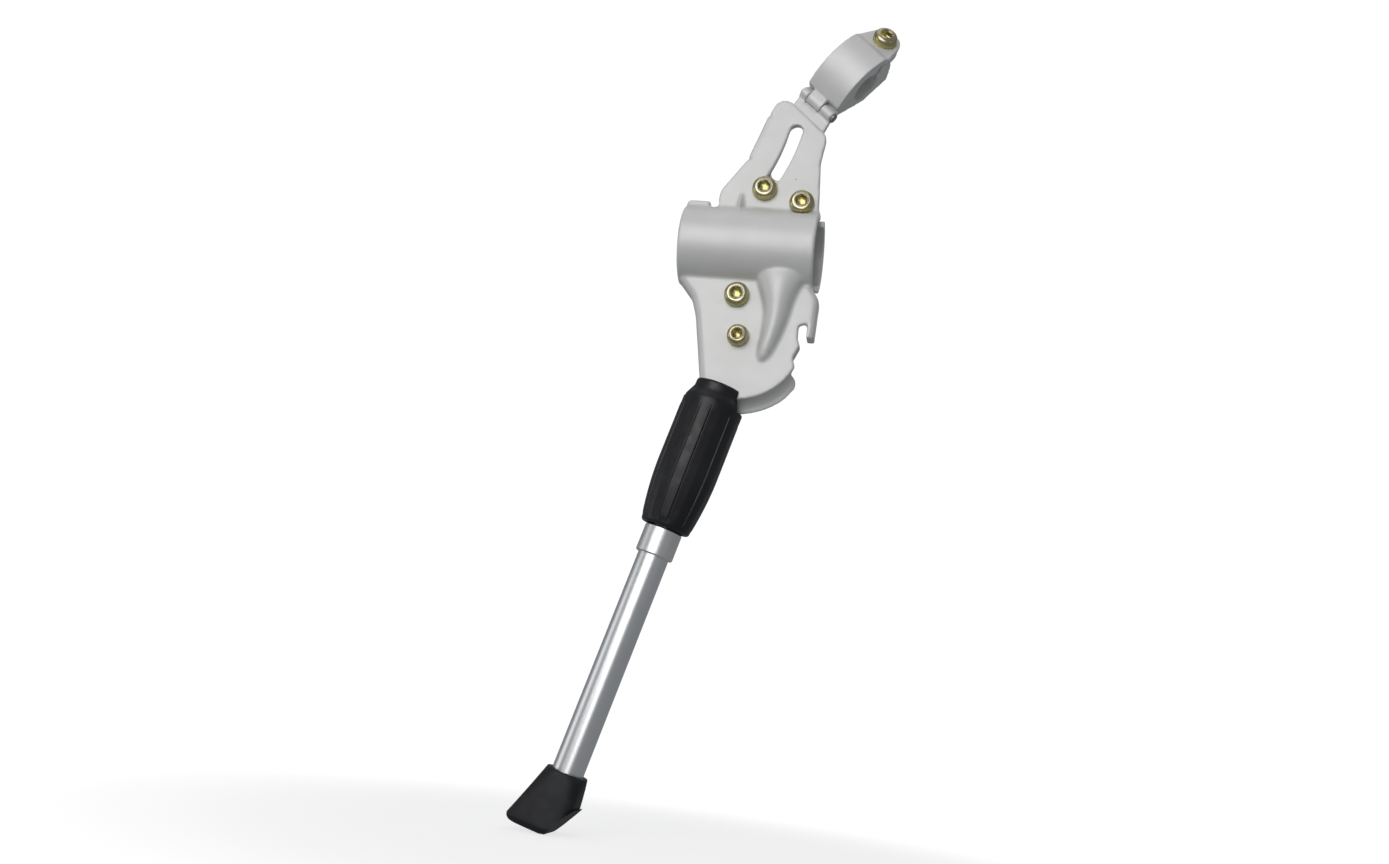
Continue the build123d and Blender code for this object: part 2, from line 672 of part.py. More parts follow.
def clamp_strap():
    """Front half of the seat-stay clamp: a bent strap with a knuckle and an ear."""
    hinge_side = hinge_x + knuckle_r + 0.85
    bend = [(hinge_side, -4.4), (-4.0, -strap_bulge_r), (ear_start[0] - 2.0, ear_start[1] - 2.0)]
    inner = [ear_start, ear_point(0.0, strap_ear_thickness), ear_point(-4.0, strap_ear_thickness),
             (6.0, -4.6), (-7.5, -2.1), (-15.0, -0.9), (hinge_side, -0.6)]
    section = make_face([ThreePointArc(*bend), Polyline(bend[-1], *inner, bend[0])])
    body = ring_slab(section) + ear_plate(0.35, strap_ear_thickness, 1.5)
    low, high = knuckle_split[0] + knuckle_gap, knuckle_split[1] - knuckle_gap
    knuckle = Pos(hinge_x, 0) * Circle(knuckle_r)
    web = make_face(Polyline((hinge_x + 0.5, -3.1), (hinge_x + 4.8, -4.6), (hinge_x + 4.8, -0.9),
                             (hinge_x + 2.4, -0.3), (hinge_x + 0.5, -0.3), close=True))
    body += ring_slab(knuckle, low, high)
    body += ring_slab(web, low, high)
    body -= ring_slab(Pos(hinge_x, 0) * Circle(hinge_pin_r + hinge_clearance), -5, ring_width + 5)
    body -= ring_slab(Circle(seat_stay_r), -1, ring_width + 1)
    body -= ear_drill(strap_bolt_r)
    return body


def hinge_pin():
    pin = Pos(hinge_x, 0) * Circle(hinge_pin_r)
    head = Pos(hinge_x, 0) * Circle(pin_head_r)
    return ring_slab(pin, 0, ring_width + 0.6) + ring_slab(head, -1.0, 0.0)


def strap_bolt():
    """Button-head bolt through the strap's ear."""
    bolt = button_bolt(strap_bolt_r, bolt_head_r, bolt_head_h, bolt_socket_r,
                       strap_ear_thickness + ear_gap + arm_ear_thickness + 1.5)
    x, y = ear_point(ear_bolt_run, 0.35)
    frame = ring_frame * Location(Plane(
        origin=(x, y, ring_width / 2),
        x_dir=(0, 0, 1),
        z_dir=(math.sin(ear_slope), -math.cos(ear_slope), 0),
    ))
    return frame * bolt


def slot_bolt_piece():
    length = arm_back - plate_front + 6.5
    bolt = button_bolt(bolt_r, bolt_head_r, bolt_head_h, bolt_socket_r, length)
    return facing_front(slot_bolt[0], plate_front - 0.05, slot_bolt[1]) * bolt


def slot_nut():
    return facing_front(slot_bolt[0], arm_back + 5.0, slot_bolt[1]) * hex_nut(5.0, 5.0, bolt_r)


# ---------------------------------------------------------------- pivot

bush_back = head_back + 0.1


def pivot_bolt():
    length = bush_back + pivot_washer_thickness + pivot_nut_thickness + 1.0 - plate_front
    bolt = button_bolt(pivot_r, pivot_head_r, pivot_head_h, pivot_socket_r, length)
    return facing_front(pivot_x, plate_front, pivot_z) * bolt


def pivot_bush():
    """Bronze bush that the leg turns on."""
    return washer(bush_r, pivot_r, housing_back, bush_back, pivot)


def pivot_washer():
    return washer(8.0, pivot_r, bush_back, bush_back + pivot_washer_thickness, pivot)


def pivot_nut():
    back = bush_back + pivot_washer_thickness + pivot_nut_thickness
    return facing_front(pivot_x, back, pivot_z) * hex_nut(5.0, pivot_nut_thickness, pivot_r)


# ---------------------------------------------------------------- leg

def leg_rod(radius, low, high):
    """Round bar of the leg's frame, between two distances from the pivot."""
    return leg_frame * (Pos(0, 0, low) * extrude(Circle(radius), amount=high - low))


def leg_head():
    """Forged head: a flat eye on the pivot, a tongue behind the skirt and a round plug."""
    tongue = make_face(Polyline(
        (-tongue_half_width, 0), (tongue_half_width, 0),
        (tongue_half_width, sweep_r + 6), (-tongue_half_width, sweep_r + 6), close=True
    ))
    angle = 180 - leg_lean
    body = slab(Pos(*pivot) * Rot(0, 0, angle) * tongue, head_front, head_back) & leg_rod(plug_r, 0, plug_end)
    body += rod(head_r, head_front, head_back, pivot)
    plug = leg_rod(plug_r, head_r, plug_end)
    plug -= rod(sweep_r, -40, 40, pivot)
    body += plug
    body -= rod(bush_r + 0.06, -20, 20, pivot)
    body -= leg_rod(stem_r, stem_top, stem_end)
    body -= stem_pin_bar(stem_pin_r)
    return body


def stem_pin_bar(radius):
    at = (stem_top + plug_end) / 2
    bar = Pos(0, 0, at) * Rot(90, 0, 0) * extrude(Circle(radius), amount=plug_r - 0.8, both=True)
    return leg_frame * bar


def stem():
    """Steel rod with ring notches for the height steps."""
    body = leg_rod(stem_r, stem_top, stem_end)
    notch = Circle(stem_r + 1) - Circle(stem_r - notch_depth)
    count = int(height_travel / notch_pitch) + 1
    for k in range(count):
        low = ring_at + k * notch_pitch - 0.8
        body -= leg_frame * (Pos(0, 0, low) * extrude(notch, amount=1.6))
    seat = Circle(stem_r + 1) - Circle(stem_r - guide_groove)
    body -= leg_frame * (Pos(0, 0, stem_end - guide_length - 2) * extrude(seat, amount=guide_length))
    body -= stem_pin_bar(stem_pin_r)
    return chamfer(body.edges().sort_by(Axis.Z)[0], 0.8)


def stem_pin():
    return stem_pin_bar(stem_pin_r)


def lock_sleeve():
    """Spring-loaded hand sleeve whose neck locks the leg at either end of its swing."""
    profile = make_face([
        Line((0, sleeve_top), (sleeve_neck_r, sleeve_top)),
        Line((sleeve_neck_r, sleeve_top), (sleeve_neck_r, sleeve_shoulder - 0.6)),
        ThreePointArc(
            (sleeve_neck_r, sleeve_shoulder - 0.6), (sleeve_r - 1.6, sleeve_shoulder + 0.6), (sleeve_r, sleeve_shoulder + 5)
        ),
        Line((sleeve_r, sleeve_shoulder + 5), (sleeve_r, sleeve_waist)),
        ThreePointArc((sleeve_r, sleeve_waist), (sleeve_r - 0.9, sleeve_waist + 15), (sleeve_bottom_r + 0.4, sleeve_bottom - 3)),
        Line((sleeve_bottom_r + 0.4, sleeve_bottom - 3), (sleeve_bottom_r, sleeve_bottom)),
        Line((sleeve_bottom_r, sleeve_bottom), (0, sleeve_bottom)),
        Line((0, sleeve_bottom), (0, sleeve_top)),
    ])
    profile_plane = Plane(origin=(0, 0, 0), x_dir=(1, 0, 0), z_dir=(0, -1, 0))
    body = leg_frame * revolve(profile_plane * profile, axis=Axis.Z)
    # Upper bore for the plug, a ledge for the spring and a lower bore over the collar.
    body -= leg_rod(plug_r + slide_clearance, 0, ledge_low)
    body -= leg_rod(stem_r + 0.5, 0, sleeve_bottom + 5)
    body -= leg_rod(collar_r + 0.4, ledge_low + ledge_thickness, sleeve_bottom + 5)
    body -= rod(sweep_r, plate_front - 0.25, 60, pivot)
    return body


def sleeve_spring():
    """Coil spring between the sleeve's ledge and the seat on the stem."""
    low, high = spring_top + spring_wire / 2 + 0.05, seat_at - spring_wire / 2 - 0.05
    coil_r = stem_r + 0.5 + spring_wire / 2 + 0.3
    helix = Helix(pitch=(high - low) / spring_turns, height=high - low, radius=coil_r)
    start = helix @ 0
    section = Plane(origin=start, z_dir=helix % 0) * Circle(spring_wire / 2)
    coil = sweep(section, path=helix)
    return leg_frame * (Pos(0, 0, low) * coil)


def spring_seat():
    ring = Circle(collar_r - 0.6) - Circle(stem_r)
    return leg_frame * (Pos(0, 0, seat_at) * extrude(ring, amount=seat_thickness))


def collar():
    """Turned collar on the tube's upper end, with a groove for the snap ring."""
    body = leg_rod(collar_r, collar_top, collar_top + collar_length)
    body = chamfer(body.edges().filter_by(GeomType.CIRCLE), 0.6)
    body -= leg_rod(stem_r + 0.15, collar_top - 1, collar_top + 30)
    body -= leg_rod(stem_r + 1.4, ring_at - 0.9, ring_at + 0.9)
    body -= leg_rod(tube_r, tube_top, collar_top + 30)
    return body


def snap_ring():
    """Split wire ring that drops into the stem's notches."""
    ring = Circle(stem_r + 1.2) - Circle(stem_r - notch_depth + 0.1)
    ring -= Pos(stem_r, 0) * Rectangle(6, 2.0)
    return leg_frame * (Pos(0, 0, ring_at - 0.6) * extrude(ring, amount=1.2))


def leg_tube():
    return leg_rod(tube_r, tube_top, tube_end) - leg_rod(tube_r - tube_wall, tube_top - 1, tube_end + 1)


def stem_guide():
    """Plastic bush on the stem's end that runs inside the tube."""
    ring = Circle(tube_r - tube_wall - 0.1) - Circle(stem_r - guide_groove)
    return leg_frame * (Pos(0, 0, stem_end - guide_length - 2) * extrude(ring, amount=guide_length))


def rubber_foot():
    """Boot that grips the tube and flares forward to its sole."""
    top = Pos(0, 0, foot_top) * RectangleRounded(
        2 * (tube_r + foot_wall), 2 * (tube_r + foot_wall), tube_r + foot_wall - 0.3)
    middle = Pos(foot_reach * 0.38, 0, foot_top + 14) * RectangleRounded(
        foot_length * 0.80, foot_width * 0.92, 8)
    sole = Pos(foot_reach, 0, foot_bottom) * RectangleRounded(foot_length, foot_width, 5)
    body = loft([top, middle, sole])
    heel = Pos(foot_reach - foot_length / 2, 0, foot_bottom) * Rot(0, 45, 0) * Box(heel_cut, 60, 60)
    body -= heel
    body = leg_frame * body
    body -= leg_rod(tube_r, foot_top - 1, tube_end)
    return body


def foot_plug():
    """Plastic plug in the tube's lower end, under the boot."""
    return leg_rod(tube_r - tube_wall, tube_end - 12, tube_end)


# ---------------------------------------------------------------- export

parts = {
    "main_bracket": main_bracket(),
    "chainstay_pad": chainstay_pad(),
    "rear_jaw": rear_jaw(),
    "clamp_bolts": Compound(children=clamp_bolts()),
    "seat_stay_arm": seat_stay_arm(),
    "slot_bolt": slot_bolt_piece(),
    "slot_nut": slot_nut(),
    "clamp_strap": clamp_strap(),
    "hinge_pin": hinge_pin(),
    "strap_bolt": strap_bolt(),
    "pivot_bolt": pivot_bolt(),
    "pivot_bush": pivot_bush(),
    "pivot_washer": pivot_washer(),
    "pivot_nut": pivot_nut(),
    "leg_head": leg_head(),
    "stem": stem(),
    "stem_pin": stem_pin(),
    "lock_sleeve": lock_sleeve(),
    "sleeve_spring": sleeve_spring(),
    "spring_seat": spring_seat(),
    "collar": collar(),
    "snap_ring": snap_ring(),
    "leg_tube": leg_tube(),
    "stem_guide": stem_guide(),
    "rubber_foot": rubber_foot(),
    "foot_plug": foot_plug(),
}

os.makedirs("parts", exist_ok=True)
for name, shape in parts.items():
    export_step(shape, f"parts/{name}.step")
    print(name, len(shape.solids()), round(shape.volume))
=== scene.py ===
# %% [markdown]
# # A rear-mount bicycle kickstand
#
# This stand is a painted die casting that clamps to the chain stay, an arm that reaches up
# to the seat stay, and a leg that swings on one bolt. The leg has a black plastic lock
# sleeve, a telescopic aluminium tube and a rubber boot.
#
# The mechanical model comes first: its holes, joints and lengths are all in the packed
# frame. Blender's job here is the look. We load the frame, set a camera and a soft studio,
# then go through the pieces one by one. A piece whose shape is already right keeps its
# mesh and only gets a finish. A piece that needs softer edges, flutes, threads or a rubber
# flare gets a new mesh that stands for it.

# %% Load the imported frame
import json
import math

import bmesh
import bpy
import numpy as np
from mathutils import Matrix, Vector

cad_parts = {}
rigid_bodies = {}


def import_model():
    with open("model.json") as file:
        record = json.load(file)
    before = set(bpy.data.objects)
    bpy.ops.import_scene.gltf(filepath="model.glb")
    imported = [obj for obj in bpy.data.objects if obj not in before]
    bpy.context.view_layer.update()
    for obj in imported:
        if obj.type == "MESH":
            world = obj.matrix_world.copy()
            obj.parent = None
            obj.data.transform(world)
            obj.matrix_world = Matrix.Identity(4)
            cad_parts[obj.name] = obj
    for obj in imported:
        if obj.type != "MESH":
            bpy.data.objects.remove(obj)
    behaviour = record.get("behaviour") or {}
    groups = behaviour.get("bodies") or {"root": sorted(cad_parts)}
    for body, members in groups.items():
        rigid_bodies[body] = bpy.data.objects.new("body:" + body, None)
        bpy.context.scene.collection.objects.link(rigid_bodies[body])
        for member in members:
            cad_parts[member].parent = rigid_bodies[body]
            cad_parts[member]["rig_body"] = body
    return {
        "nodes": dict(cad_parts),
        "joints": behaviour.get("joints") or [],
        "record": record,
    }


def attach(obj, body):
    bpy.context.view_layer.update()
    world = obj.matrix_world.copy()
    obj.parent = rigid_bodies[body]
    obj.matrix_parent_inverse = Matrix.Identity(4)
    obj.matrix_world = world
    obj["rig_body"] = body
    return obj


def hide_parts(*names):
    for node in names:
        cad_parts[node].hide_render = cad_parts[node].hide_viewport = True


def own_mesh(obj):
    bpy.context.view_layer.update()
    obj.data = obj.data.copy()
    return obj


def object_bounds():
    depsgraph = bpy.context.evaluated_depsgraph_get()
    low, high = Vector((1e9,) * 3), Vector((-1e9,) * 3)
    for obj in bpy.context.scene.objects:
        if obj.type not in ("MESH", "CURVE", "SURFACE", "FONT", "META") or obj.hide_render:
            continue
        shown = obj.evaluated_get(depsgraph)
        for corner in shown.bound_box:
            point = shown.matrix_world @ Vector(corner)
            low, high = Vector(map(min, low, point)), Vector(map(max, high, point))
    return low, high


MM = 0.001                                   # one millimetre in Blender's metres

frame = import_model()
nodes = frame["nodes"]
joints = {joint["name"]: joint for joint in frame["joints"]}
mounts = {mount["name"]: mount for mount in frame["record"]["mounts"]}
cad_low, cad_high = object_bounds()
print("CAD box in mm:", [round(v / MM, 1) for v in cad_high - cad_low])

# %% [markdown]
# ## The leg's own directions
#
# Most new pieces belong to the leg, which leans 14.2 degrees from upright. It is far easier
# to describe them on a straight axis and to turn the finished points into place. The frame
# tells us that axis: the leg turns about its swing joint, and the sleeve slides straight
# down it. So we keep three directions (forward, inboard, down) and one starting point.

# %% Leg directions from the joints
leg_origin = np.array(joints["leg_swing"]["pos_m"])
leg_down = np.array(joints["sleeve_slide"]["axis"])
leg_inboard = np.array([0.0, 1.0, 0.0])
leg_forward = np.cross(leg_inboard, leg_down)
leg_lean = math.atan2(-leg_down[0], -leg_down[2])


def on_leg(forward, inboard, down):
    """Points given across and along the leg, in millimetres, as points of the frame.

    The place is the pivot, plus each distance times its direction.
    """
    parts = (forward, leg_forward), (inboard, leg_inboard), (down, leg_down)
    return leg_origin + sum(np.multiply.outer(np.asarray(d) * MM, way) for d, way in parts)


print("leg leans", round(math.degrees(leg_lean), 2), "degrees")

# %% [markdown]
# ## Camera
#
# The stand is seen from its outboard side, from a little behind and a little below, with
# the camera tilted. An orbit is the easiest way to say that: a point to look at, a
# distance, an azimuth and an elevation, and a roll about the line of sight. The lens is
# fairly wide, because the camera stands close.

# %% Camera
look_at = Vector((-12.5, -19.5, -99.6)) * MM
view_distance = 560 * MM
view_azimuth = math.radians(10.0)
view_elevation = math.radians(-13.0)
view_roll = math.radians(7.5)
lens_mm = 31.1

camera = bpy.data.objects.new("camera", bpy.data.cameras.new("camera"))
bpy.context.scene.collection.objects.link(camera)
bpy.context.scene.camera = camera
camera.data.lens = lens_mm
camera.data.sensor_width = 36.0
camera.data.clip_start = 0.01
camera.data.dof.use_dof = False
back = Vector((
    math.sin(view_azimuth) * math.cos(view_elevation),
    -math.cos(view_azimuth) * math.cos(view_elevation),
    math.sin(view_elevation),
))
level_right = Vector((math.cos(view_azimuth), math.sin(view_azimuth), 0))
level_up = back.cross(level_right)
right = level_right * math.cos(view_roll) + level_up * math.sin(view_roll)
up = back.cross(right)
camera.matrix_world = Matrix.Translation(look_at + back * view_distance) @ Matrix(
    (right, up, back)).transposed().to_4x4()
print("camera at", [round(v, 3) for v in camera.matrix_world.translation])

# %% [markdown]
# ## Studio
#
# A catalogue picture has a white surround without a horizon. Two stage pieces make it: a
# floor under the boot, and a big round tent of plain light behind everything. The tent is
# seen by the camera only. If the paint and the tube could reflect it, their edges would
# go white, and the round shapes would look flat. What they reflect instead is a dim grey
# world and a few soft boxes.
#
# The floor is ordinary pale card near the stand, and it turns into plain light further
# out, so that no edge shows where it meets the tent. Like the tent, it isn't reflected by
# the stand and sheds no light on it.

# %% Floor and tent
floor_z = cad_low.z
floor_radius = 6.0
tent_radius = 5.8


def link(name, mesh):
    """Put a mesh in the scene as an object at the origin."""
    piece = bpy.data.objects.new(name, mesh)
    bpy.context.scene.collection.objects.link(piece)
    return piece


def grid_mesh(name, points, wrap_u=False, wrap_v=False, flip=False):
    """Mesh of quads over a grid of points, rows along u and columns along v.

    Each point is joined to the next in its row and its column. A wrapped direction joins
    its last line of points to its first.
    """
    rows, columns = points.shape[:2]
    index = np.arange(rows * columns).reshape(rows, columns)
    if wrap_u:
        index = np.vstack([index, index[:1]])
    if wrap_v:
        index = np.hstack([index, index[:, :1]])
    corners = index[:-1, :-1], index[1:, :-1], index[1:, 1:], index[:-1, 1:]
    quads = np.stack([c.ravel() for c in (corners[::-1] if flip else corners)], axis=1)
    mesh = bpy.data.meshes.new(name)
    mesh.from_pydata(points.reshape(-1, 3), [], quads)
    mesh.polygons.foreach_set("use_smooth", np.ones(len(quads), bool))
    mesh.update()
    return mesh


def disc_points(radius, z, steps=96):
    """Rings of a flat disc: the radius grows from nothing in even steps."""
    distance = np.linspace(1e-4, radius, 24)[:, None]
    angle = np.linspace(0, 2 * np.pi, steps, endpoint=False)[None, :]
    flat = np.full(distance.shape[:1] + angle.shape[1:], z)
    return np.stack([distance * np.cos(angle), distance * np.sin(angle), flat], axis=-1)


def tent_points(radius, z, steps=96):
    """Half sphere over the floor: latitude runs from the floor to the top."""
    latitude = np.linspace(-0.05, 0.5 * np.pi, 32)[:, None]
    angle = np.linspace(0, 2 * np.pi, steps, endpoint=False)[None, :]
    level = np.broadcast_to(z + radius * np.sin(latitude), (32, steps))
    reach = radius * np.cos(latitude)
    return np.stack([reach * np.cos(angle), reach * np.sin(angle), level], axis=-1)


floor = link("studio_floor", grid_mesh("studio_floor", disc_points(floor_radius, floor_z), wrap_v=True))
tent = link("studio_tent", grid_mesh("studio_tent", tent_points(tent_radius, floor_z), wrap_v=True))
tent.visible_glossy = tent.visible_diffuse = tent.visible_shadow = False
tent.visible_transmission = False
floor.visible_glossy = floor.visible_diffuse = False
print("floor at", round(floor_z / MM, 1), "mm")

# %% [markdown]
# ## A small kit for materials
#
# A finish in Blender is a little network: a texture looks at a position and gives a
# number, a ramp turns the number into a colour or a roughness, and the shader reads it.
# These helpers add one such step each, so that every finish below stays a short list of
# what the eye sees: a base colour, how it varies, how rough it is and how uneven.


# %% Material helpers
class Finish:
    """One material while it is being put together."""

    def __init__(self, name, colour, roughness, metallic=0.0, **sockets):
        self.material = bpy.data.materials.new(name)
        self.material.use_nodes = True
        self.tree = self.material.node_tree
        self.shader = self.tree.nodes["Principled BSDF"]
        self.colour = (*colour, 1.0)
        self.roughness = roughness
        self.shader.inputs["Base Color"].default_value = self.colour
        self.shader.inputs["Roughness"].default_value = roughness
        self.shader.inputs["Metallic"].default_value = metallic
        for socket, value in sockets.items():
            self.shader.inputs[socket.replace("_", " ")].default_value = value
        self.place = self.add("ShaderNodeTexCoord").outputs["Object"]
        self.tint = self.gloss = self.normal = None
        self.material.diffuse_color = self.colour

    def add(self, kind, **values):
        node = self.tree.nodes.new(kind)
        for name, value in values.items():
            setattr(node, name, value)
        return node

    def wire(self, output, target):
        self.tree.links.new(output, target)

    def noise(self, size_mm, detail=3.0, place=None, roughness=0.5):
        """Cloudy numbers from 0 to 1 whose patches are about this many millimetres wide."""
        node = self.add("ShaderNodeTexNoise")
        node.inputs["Scale"].default_value = 1.0 / (size_mm * MM)
        node.inputs["Detail"].default_value = detail
        node.inputs["Roughness"].default_value = roughness
        self.wire(place or self.place, node.inputs["Vector"])
        return node.outputs["Fac"]

    def cells(self, size_mm, place=None):
        """Distance from the middle of a random cell, and one random number for each cell."""
        node = self.add("ShaderNodeTexVoronoi")
        node.inputs["Scale"].default_value = 1.0 / (size_mm * MM)
        self.wire(place or self.place, node.inputs["Vector"])
        return node.outputs["Distance"], node.outputs["Color"]

    def stretched(self, across_mm, along_mm, origin=None, turn=None):
        """Position in the leg's own directions, squeezed across it and drawn out along it."""
        node = self.add("ShaderNodeMapping", vector_type="TEXTURE")
        node.inputs["Location"].default_value = leg_origin if origin is None else origin
        node.inputs["Rotation"].default_value = (0, leg_lean, 0) if turn is None else turn
        node.inputs["Scale"].default_value = (across_mm * MM, across_mm * MM, along_mm * MM)
        self.wire(self.place, node.inputs["Vector"])
        return node.outputs["Vector"]

    def ramp(self, value, low, high, out_low=0.0, out_high=1.0):
        """The value, spread so that low to high becomes out_low to out_high, and no further."""
        node = self.add("ShaderNodeMapRange", interpolation_type="SMOOTHSTEP")
        limits = {"From Min": low, "From Max": high, "To Min": out_low, "To Max": out_high}
        for name, number in limits.items():
            node.inputs[name].default_value = number
        self.wire(value, node.inputs["Value"])
        return node.outputs["Result"]

    def blend(self, share, colour, strength=1.0):
        """Lay a colour over what the base colour is so far, by a share from 0 to 1."""
        node = self.add("ShaderNodeMix", data_type="RGBA")
        if strength != 1.0:
            share = self.times(share, strength)
        self.wire(share, node.inputs["Factor"])
        if self.tint is None:
            node.inputs["A"].default_value = self.colour
        else:
            self.wire(self.tint, node.inputs["A"])
        node.inputs["B"].default_value = (*colour, 1.0)
        self.tint = node.outputs["Result"]

    def times(self, a, b):
        node = self.add("ShaderNodeMath", operation="MULTIPLY")
        self.wire(a, node.inputs[0])
        if isinstance(b, float):
            node.inputs[1].default_value = b
        else:
            self.wire(b, node.inputs[1])
        return node.outputs[0]

    def rougher(self, value, amount):
        """Add amount times the value to the roughness."""
        node = self.add("ShaderNodeMath", operation="MULTIPLY_ADD")
        self.wire(value, node.inputs[0])
        node.inputs[1].default_value = amount
        if self.gloss is None:
            node.inputs[2].default_value = self.roughness
        else:
            self.wire(self.gloss, node.inputs[2])
        self.gloss = node.outputs[0]

    def bump(self, value, height_mm, strength=1.0):
        """Raise the surface by the value times this height."""
        node = self.add("ShaderNodeBump")
        node.inputs["Strength"].default_value = strength
        node.inputs["Distance"].default_value = height_mm * MM
        self.wire(value, node.inputs["Height"])
        if self.normal is not None:
            self.wire(self.normal, node.inputs["Normal"])
        self.normal = node.outputs["Normal"]

    def attribute(self, name):
        return self.add("ShaderNodeAttribute", attribute_name=name).outputs["Fac"]

    def edges(self, low, high):
        """How much a place is an outside edge (towards 1) or an inside corner (towards 0)."""
        node = self.add("ShaderNodeNewGeometry")
        return self.ramp(node.outputs["Pointiness"], low, high)

    def done(self):
        for output, socket in ((self.tint, "Base Color"), (self.gloss, "Roughness"), (self.normal, "Normal")):
            if output is not None:
                self.wire(output, self.shader.inputs[socket])
        print("finish", self.material.name, "with", len(self.tree.nodes), "nodes")
        return self.material


# %% [markdown]
# ## Finishes of the stage
#
# The floor mixes card and plain light by the distance from the stand. The tent is plain
# light of the same strength, so the two meet without a line.

# %% Floor and tent finishes
white_level = 1.04
card = Finish("pale_card", (0.86, 0.86, 0.86), 0.9)
distance = card.add("ShaderNodeVectorMath", operation="LENGTH")
card.wire(card.place, distance.inputs[0])
share = card.ramp(distance.outputs["Value"], 0.31, 0.42, 0.72, 1.0)
glow = card.add("ShaderNodeEmission")
glow.inputs["Strength"].default_value = white_level
mixed = card.add("ShaderNodeMixShader")
card.wire(share, mixed.inputs[0])
card.wire(card.shader.outputs[0], mixed.inputs[1])
card.wire(glow.outputs[0], mixed.inputs[2])
card.wire(mixed.outputs[0], card.tree.nodes["Material Output"].inputs[0])
floor.data.materials.append(card.done())

light_cloth = Finish("tent_light", (0, 0, 0), 1.0, Specular_IOR_Level=0.0)
light_cloth.shader.inputs["Emission Color"].default_value = (1, 1, 1, 1)
light_cloth.shader.inputs["Emission Strength"].default_value = white_level
tent.data.materials.append(light_cloth.done())

# %% [markdown]
# ## Lights
#
# One big soft box in front, a little to the left and above, draws the broad highlight down
# the tube and along the channel. A weaker one on the right opens the shadows, one on the
# far left gives the left edges a soft line, one overhead lights the floor, a low one
# brightens the undersides, and one behind lights the back. Each is aimed at the middle of
# the stand.

# %% Soft boxes and the world
stand_middle = (cad_low + cad_high) / 2


def soft_box(name, azimuth, elevation, distance, size, watts):
    """Square area light on an orbit about the stand, turned to face it."""
    light = bpy.data.lights.new(name, "AREA")
    light.shape, light.size, light.energy = "SQUARE", size, watts
    box = bpy.data.objects.new(name, light)
    a, e = math.radians(azimuth), math.radians(elevation)
    out = Vector((math.sin(a) * math.cos(e), -math.cos(a) * math.cos(e), math.sin(e)))
    box.location = stand_middle + out * distance
    box.rotation_mode = "QUATERNION"
    box.rotation_quaternion = out.to_track_quat("Z", "Y")
    bpy.context.scene.collection.objects.link(box)
    return box


soft_box("key_box", -14, 20, 1.3, 0.90, 7.6)
soft_box("fill_box", 62, 8, 1.6, 0.8, 0.3)
soft_box("top_box", -20, 82, 1.4, 1.2, 2.5)
soft_box("low_box", 4, -5, 1.5, 0.6, 2.6)
soft_box("side_box", -78, 4, 1.5, 0.7, 1.6)
soft_box("back_box", 165, 35, 1.6, 1.0, 2.5)
world = bpy.data.worlds.new("dim_room")
bpy.context.scene.world = world
world.use_nodes = True
world.node_tree.nodes["Background"].inputs["Color"].default_value = (0.93, 0.96, 1.0, 1)
world.node_tree.nodes["Background"].inputs["Strength"].default_value = 0.24
bpy.context.scene.view_settings.view_transform = "Standard"
print("soft boxes:", len(bpy.data.lights))

# %% [markdown]
# ## Silver paint on the castings
#
# The bracket, the arm and the strap are die castings under one coat of satin silver-grey
# paint. Metal flake in the paint makes it brighter where it faces the light, so the shader
# is part metallic. The paint clouds slightly at random and has a faint orange peel. Outside
# edges get a painted highlight, a lighter line in the colour, and inside corners get painted
# shade, a darker colour. A few small nicks show that the part has been handled.

# %% Silver paint
silver_base = (0.64, 0.64, 0.625)


def silver_paint(name, shade=1.0):
    paint = Finish(name, [c * shade for c in silver_base], 0.42, metallic=0.22)
    paint.blend(paint.ramp(paint.noise(22, 4), 0.35, 0.70), (0.70, 0.70, 0.69), 0.55)
    paint.blend(paint.ramp(paint.noise(0.5, 2), 0.55, 0.75), (0.48, 0.48, 0.47), 0.18)
    # Painted highlight: outside edges are drawn lighter, standing in for light caught on rounded edges.
    paint.blend(paint.edges(0.53, 0.62), (0.84, 0.84, 0.83), 0.55)
    # Painted shade: inside corners and creases are drawn darker, standing in for shade that falls there.
    hollow_shade = paint.edges(0.47, 0.36)
    paint.blend(hollow_shade, (0.36, 0.37, 0.36), 0.35)
    near, chance = paint.cells(9)
    nick = paint.times(paint.ramp(near, 0.055, 0.03), paint.ramp(chance, 0.62, 0.70))
    paint.blend(nick, (0.26, 0.26, 0.27), 0.8)
    paint.rougher(paint.noise(6, 4), 0.12)
    paint.bump(paint.noise(1.6, 2), 0.035, 0.35)
    paint.bump(nick, -0.08, 0.6)
    return paint.done()


cast_silver = silver_paint("silver_paint")

# %% [markdown]
# ## Softening a casting
#
# A die casting has no sharp edge anywhere: the mould is rounded, and paint rounds it
# again. Rounding every edge of a finished mesh one by one is slow and often breaks. A
# voxel remesh is the sturdy way: it fills the shape with small cubes and wraps an even
# skin around them, and a few steps of smoothing then melt each edge by about one cube.
# Holes, faces and mating places keep their positions. The copy's corners are merged
# first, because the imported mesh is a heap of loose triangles.


